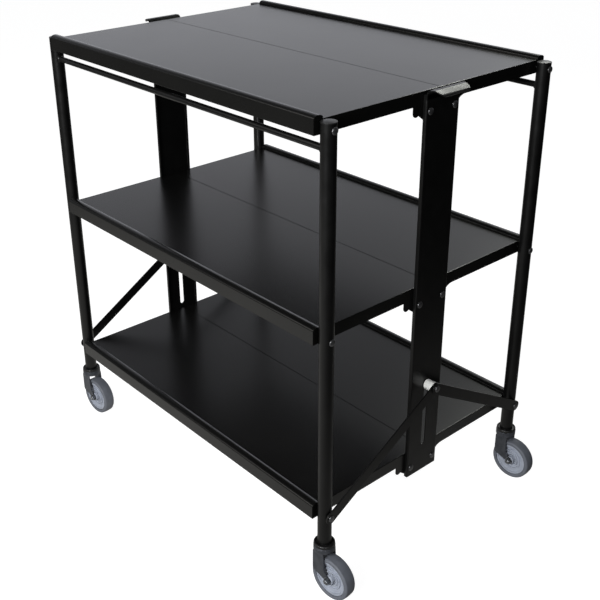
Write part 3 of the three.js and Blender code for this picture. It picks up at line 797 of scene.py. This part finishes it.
forkSet = {
    "cup": 21.0, "cupHeight": 12.0, "cupRound": 2.2, "cupLip": 0.6, "cupTaper": 1.0, "cupSides": 56,
    "groove": [(0, 4.2), (0.9, 3.6), (0.9, 3.0), (0, 2.4)],  # in from the cup's side, and down from its top
    "gap": 0.3, "sheet": 2.6, "bore": 6.4, "inside": 15.2, "edge": 0.5,
    "lead": 13.6, "shoulder": 1.0, "shoulderRound": 2.0, "knee": 54.0, "kneeRound": 9.0, "boss": 6.9,
    "waist": 15.0,  # behind the stem, and as far above the axle
    "waistRound": 12.0, "rear": 13.0,
}


def forkMesh(s, cupTop, trail, axleZ):
    low, radius, sheet = cupTop - s["cupHeight"], s["cup"], s["sheet"]
    cup = [(s["bore"], low)] + arc((radius - s["cupRound"], low + s["cupRound"]), s["cupRound"], -90, 0, 5)
    cup += [(radius - inward, cupTop - down) for inward, down in s["groove"]]
    cup += arc((radius - s["cupLip"], cupTop - s["cupLip"]), s["cupLip"], 0, 90, 3)
    cup += [(radius - sheet, cupTop), (radius - sheet - s["cupTaper"], low + sheet)]
    cup += [(s["bore"], low + sheet), (s["bore"], low)]
    boss = arc((trail, axleZ), s["boss"], 200, 420, 20)
    shoulder = math.sqrt(radius * radius - (s["inside"] + sheet) ** 2)  # where the leg leaves the cup
    leg = [(-shoulder, low + sheet), (-s["lead"], low - s["shoulder"]), (-s["lead"], s["knee"])] + boss
    leg += [(s["waist"], axleZ + s["waist"]), (s["rear"], low), (shoulder, low + sheet)]
    radii = [0, s["shoulderRound"], s["kneeRound"]] + [0] * len(boss) + [s["waistRound"], 0, 0]
    leg = roundCorners(leg, radii, 6)
    legs = [transform(extrudeOutline(leg, sheet, s["edge"]), at(0, depth, 0) @ sideways)
            for depth in (-s["inside"], s["inside"] + sheet)]
    return merge(lathe(cup, s["cupSides"]), *legs)


axleSet = {
    "radius": 4.0, "nut": 6.75, "nutThick": 5.5, "nutEdge": 0.7, "gap": 0.3, "washer": 8.0,
    "domeRadius": 4.86, "domeSink": 0.4, "domeRise": 2.3, "domeEdge": 0.2,
    "boltSides": 28, "washerSides": 36,
}


def axleMesh(s, seat):
    near = seat + s["gap"]
    far = near + s["nutThick"]
    bolt = transform(lathe(rod(s["radius"], -near, near), s["boltSides"]), toY)
    pieces = []
    for quarter in (math.pi / 2, -math.pi / 2):
        nut = transform(extrudeOutline(hexagon(s["nut"]), s["nutThick"], s["nutEdge"]), at(0, 0, near))
        washer = lathe(rod(s["washer"], seat, near), s["washerSides"])
        pieces += [transform(piece, Matrix.Rotation(quarter, 4, "X")) for piece in (nut, washer)]
    cap = lathe(dome(s["domeRadius"], far - s["domeSink"], s["domeRise"], s["domeEdge"]), s["boltSides"])
    pieces.append(transform(cap, Matrix.Rotation(math.pi / 2, 4, "X")))
    return merge(bolt, *pieces)


hubSet = {
    "bore": 4.5, "core": 9.5, "coreHalf": 14.8, "coreEdge": 0.8, "coreFoot": 0.4,
    "web": 4.0, "webEdge": 0.3, "rim": 35.3, "rimHalf": 10.5, "rimEdge": 0.5, "sides": 72,
    "rings": [(13.2, 8.8), (16.2, 9.2), (17.0, 6.4), (20.4, 6.8), (21.2, 8.8), (23.0, 9.0), (23.4, 6.6),
              (25.0, 6.9), (30.6, 8.6), (31.4, 10.5)],  # radius and half width of each step of the face
    "ribs": 14, "ribThick": 2.0, "ribHalf": 8.0, "ribEdge": 0.3, "ribRoot": 0.6,
}


def hubMesh(s):
    ringRadius = s["rings"][0][0]
    half = [(s["bore"], s["coreHalf"]), (s["core"] - s["coreEdge"], s["coreHalf"]),
            (s["core"], s["coreHalf"] - s["coreEdge"]), (s["core"] + s["coreFoot"], s["web"]),
            (ringRadius - s["webEdge"], s["web"])] + s["rings"]
    half += [(s["rim"] - s["rimEdge"], s["rimHalf"]), (s["rim"], s["rimHalf"] - s["rimEdge"])]
    wheel = lathe(mirrored(half) + [half[0]], s["sides"])
    inner, outer, side = s["core"] - s["ribRoot"], ringRadius + s["ribRoot"], s["ribThick"] / 2
    plan = [(inner, -side), (outer, -side), (outer, side), (inner, side)]
    for k in range(s["ribs"]):
        turn = Matrix.Rotation(2 * math.pi * k / s["ribs"], 4, "Z")
        rib = extrudeOutline(plan, 2 * s["ribHalf"], s["ribEdge"])
        merge(wheel, transform(rib, turn @ at(0, 0, -s["ribHalf"])))
    return transform(wheel, toY)


tyreSet = {
    "radius": 45.0, "halfWidth": 13.0, "seat": 35.6, "shoulder": 4.6, "crown": 0.4, "sides": 72,
    "bead": [(0, 1.4), (0.8, 0.5), (3.0, 0)],   # out from the seat, and in from the side
    "tread": [(0.12, 2.6), (0, 0.6)],           # down from the radius, and half its width
}


def tyreMesh(s):
    radius, side, corner = s["radius"], s["halfWidth"], s["shoulder"]
    half = [(s["seat"] + out, side - inward) for out, inward in s["bead"]]
    half += arc((radius - s["crown"] - corner, side - corner), corner, 90, 20, 6)
    half += [(radius - down, width) for down, width in s["tread"]]
    return transform(lathe(mirrored(half) + [half[0]], s["sides"]), toY)


def makeCasters():
    capTop = postFoot - forkSet["gap"]
    cupTop = capTop - stemSet["thick"] - forkSet["gap"]
    seat = forkSet["inside"] + forkSet["sheet"]
    for side, sy in sides.items():
        for end, sx in ends.items():
            corner = f"{side}_{end}"
            post = Vector((sx * postX, sy * postY, 0))
            axle = (middleOf(f"caster_tyre_{corner}") - floorCentre) / mm
            reach = axle - post
            reach.z = 0
            place = at(*post) @ Matrix.Rotation(math.atan2(reach.y, reach.x), 4, "Z")
            wheelAt = place @ at(reach.length, 0, axle.z)
            cap, pin = stemMeshes(stemSet, capTop, cupTop - forkSet["cupHeight"])
            fork = forkMesh(forkSet, cupTop, reach.length, axle.z)
            body, caster, wheel = f"{side}_frame", f"caster_{corner}", f"wheel_{corner}"
            pieces = [
                ("swivelCap", cap, place, capPlastic, body, "cap_plastic", "stem"),
                ("kingpin", pin, place, zincSteel, body, "zinc_steel", None),
                ("yoke", fork, place, forkSteel, caster, "fork_steel", "fork"),
                ("axleBolt", axleMesh(axleSet, seat), wheelAt, zincSteel, caster, "zinc_steel", "axle"),
                ("wheelCentre", hubMesh(hubSet), wheelAt, hubPlastic, wheel, "hub_plastic", "hub"),
                ("tread", tyreMesh(tyreSet), wheelAt, tyreRubber, wheel, "tyre_rubber", "tyre"),
            ]
            for name, mesh, where, look, rider, slotName, node in pieces:
                addObject(f"{name}_{corner}", transform(mesh, where), look, rider,
                          replaced=[f"caster_{node}_{corner}"] if node else ())


makeCasters()
print("casters made")


# the plain nodes get the finishes of the pieces that stand in for them

nodeLooks = [
    ("pivot_screw", screwSteel), ("link_", frameCoat), ("slot_pin", zincSteel), ("roller", whiteNylon),
    ("caster_stem", capPlastic), ("caster_fork", forkSteel), ("caster_axle", zincSteel),
    ("caster_hub", hubPlastic), ("caster_tyre", tyreRubber), ("post", frameCoat), ("top_rail", frameCoat),
    ("centre_plate", frameCoat), ("top_shelf", shelfCoat), ("middle_shelf", shelfCoat),
    ("bottom_shelf", shelfCoat),
]
for nodeName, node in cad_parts.items():
    for start, look in nodeLooks:
        if nodeName.startswith(start):
            node.data.materials.clear()
            node.data.materials.append(look)
            break


worldSet = {
    "colour": (0.96, 0.975, 1.04), "brightSide": (-0.76, 0.65, 0),
    "side": (0.02, 1.0, 0.15, 0.78),  # brightness away from the bright side and at it, and where it changes
    # how far up the sky, from level (0) to straight up (1), and the brightness there
    "height": [(0.0, 0.93), (0.24, 0.87), (0.38, 0.45), (0.50, 0.27), (0.56, 0.23), (0.64, 0.04),
               (1.0, 0.04)],
}


def mixForCamera(tree, others, camera):
    mix = tree.nodes.new("ShaderNodeMixShader")
    path = tree.nodes.new("ShaderNodeLightPath")
    tree.links.new(path.outputs["Is Camera Ray"], mix.inputs["Fac"])
    tree.links.new(others, mix.inputs[1])
    tree.links.new(camera, mix.inputs[2])
    return mix.outputs["Shader"]


def addShaders(tree, first, second):
    node = tree.nodes.new("ShaderNodeAddShader")
    tree.links.new(first, node.inputs[0])
    tree.links.new(second, node.inputs[1])
    return node.outputs["Shader"]


def makeWorld(s):
    # plain white to the camera, and a soft glow from one side to the pieces
    world = bpy.data.worlds.new("studio")
    bpy.context.scene.world = world
    world.use_nodes = True
    tree = world.node_tree
    tree.nodes.clear()
    seen = tree.nodes.new("ShaderNodeBackground")
    seen.inputs["Color"].default_value = (1, 1, 1, 1)
    lit = tree.nodes.new("ShaderNodeBackground")
    lit.inputs["Color"].default_value = (*s["colour"], 1)
    direction = tree.nodes.new("ShaderNodeTexCoord").outputs["Generated"]
    side = remap(tree, dotWith(tree, direction, s["brightSide"]), *s["side"], curve="SMOOTHSTEP")
    levels = [(up, (level, level, level)) for up, level in s["height"]]
    height = ramp(tree, dotWith(tree, direction, (0, 0, 1)), levels)
    tree.links.new(product(tree, side, height), lit.inputs["Strength"])
    output = tree.nodes.new("ShaderNodeOutputWorld")
    mixed = mixForCamera(tree, lit.outputs["Background"], seen.outputs["Background"])
    tree.links.new(mixed, output.inputs["Surface"])


floorSet = {
    "size": 12, "drop": 0.0006, "colour": 0.32, "roughness": 0.9, "glow": 0.95,   # as the camera sees it
    "albedo": 0.02, "warmth": (1.0, 0.985, 0.94), "fadeSide": (0.95, 0.31, 0),    # as the pieces mirror it: a dark even floor with a painted pool of light glowing on it
    "fade": (0.51, 0.005, -0.6, 1.4),   # the painted pool of light: two levels, and where it goes from one to the other
    "falloff": (1.0, 0.18, 1.0, 2.6),   # the same with the distance from the middle
}


def floorMaterial(s):
    material, tree, shader, coords = nodeMaterial("paleFloor")
    shader.inputs["Roughness"].default_value = s["roughness"]
    shader.inputs["Base Color"].default_value = (s["colour"],) * 3 + (1,)
    glow = tree.nodes.new("ShaderNodeEmission")
    glow.inputs["Strength"].default_value = s["glow"]
    seen = addShaders(tree, shader.outputs["BSDF"], glow.outputs["Emission"])
    dim = tree.nodes.new("ShaderNodeBsdfDiffuse")
    dim.inputs["Color"].default_value = (s["albedo"],) * 3 + (1,)
    # a painted pool of light: an emission seen only by the pieces, bright on one side and near the middle,
    # fading away from there
    paintedLightPool = tree.nodes.new("ShaderNodeEmission")
    paintedLightPool.inputs["Color"].default_value = (*s["warmth"], 1)
    across = dotWith(tree, coords.outputs["Object"], s["fadeSide"])
    fade = remap(tree, across, *s["fade"], curve="SMOOTHSTEP")
    away = tree.nodes.new("ShaderNodeVectorMath")
    away.operation = "LENGTH"
    tree.links.new(coords.outputs["Object"], away.inputs[0])
    falloff = remap(tree, away.outputs["Value"], *s["falloff"], curve="SMOOTHSTEP")
    tree.links.new(product(tree, fade, falloff), paintedLightPool.inputs["Strength"])
    lit = addShaders(tree, dim.outputs["BSDF"], paintedLightPool.outputs["Emission"])
    tree.links.new(mixForCamera(tree, lit, seen), tree.nodes["Material Output"].inputs["Surface"])
    return material


def makeFloor(s):
    bm = bmesh.new()
    bmesh.ops.create_grid(bm, x_segments=1, y_segments=1, size=s["size"])
    bmesh.ops.translate(bm, vec=(0, 0, -s["drop"]), verts=bm.verts)
    mesh = bpy.data.meshes.new("floor")
    bm.to_mesh(mesh)
    bm.free()
    mesh.materials.append(floorMaterial(s))
    floor = linked("floor", mesh)


# metres from floorCentre, and watts
lampSet = {
    "softbox": {"place": (-1.6, -2.6, 2.4), "target": (0, 0, 0.4), "size": 1.6, "power": 12,
                "colour": (1.0, 0.97, 0.92)},
    "frontLight": {"place": (0.9, -2.7, 1.7), "target": (0.3, 0, 0.3), "size": 1.2, "power": 90,
                   "colour": (0.98, 0.99, 1.0)},
    "sideLight": {"place": (3.0, -1.6, 1.9), "target": (0, 0, 0.4), "size": 0.6, "power": 14,
                  "colour": (0.97, 0.98, 1.0)},
    "backLamp": {"place": (-0.7, 2.26, 2.55), "target": (0.45, 0, 0.9), "size": 0.5, "power": 14,
                 "colour": (0.98, 1.0, 0.94)},
}


def makeLamp(name, s):
    data = bpy.data.lights.new(name, "AREA")
    data.shape = "RECTANGLE"
    data.size, data.size_y = s["size"], s["size"]
    data.energy = s["power"]
    data.color = s["colour"]
    light = linked(name, data)
    light.location = floorCentre + Vector(s["place"])
    light.rotation_euler = (Vector(s["target"]) - Vector(s["place"])).to_track_quat("-Z", "Y").to_euler()


bpy.context.scene.view_settings.view_transform = "Standard"
makeWorld(worldSet)
makeFloor(floorSet)
for lampName, lamp in lampSet.items():
    makeLamp(lampName, lamp)
print("studio lit")
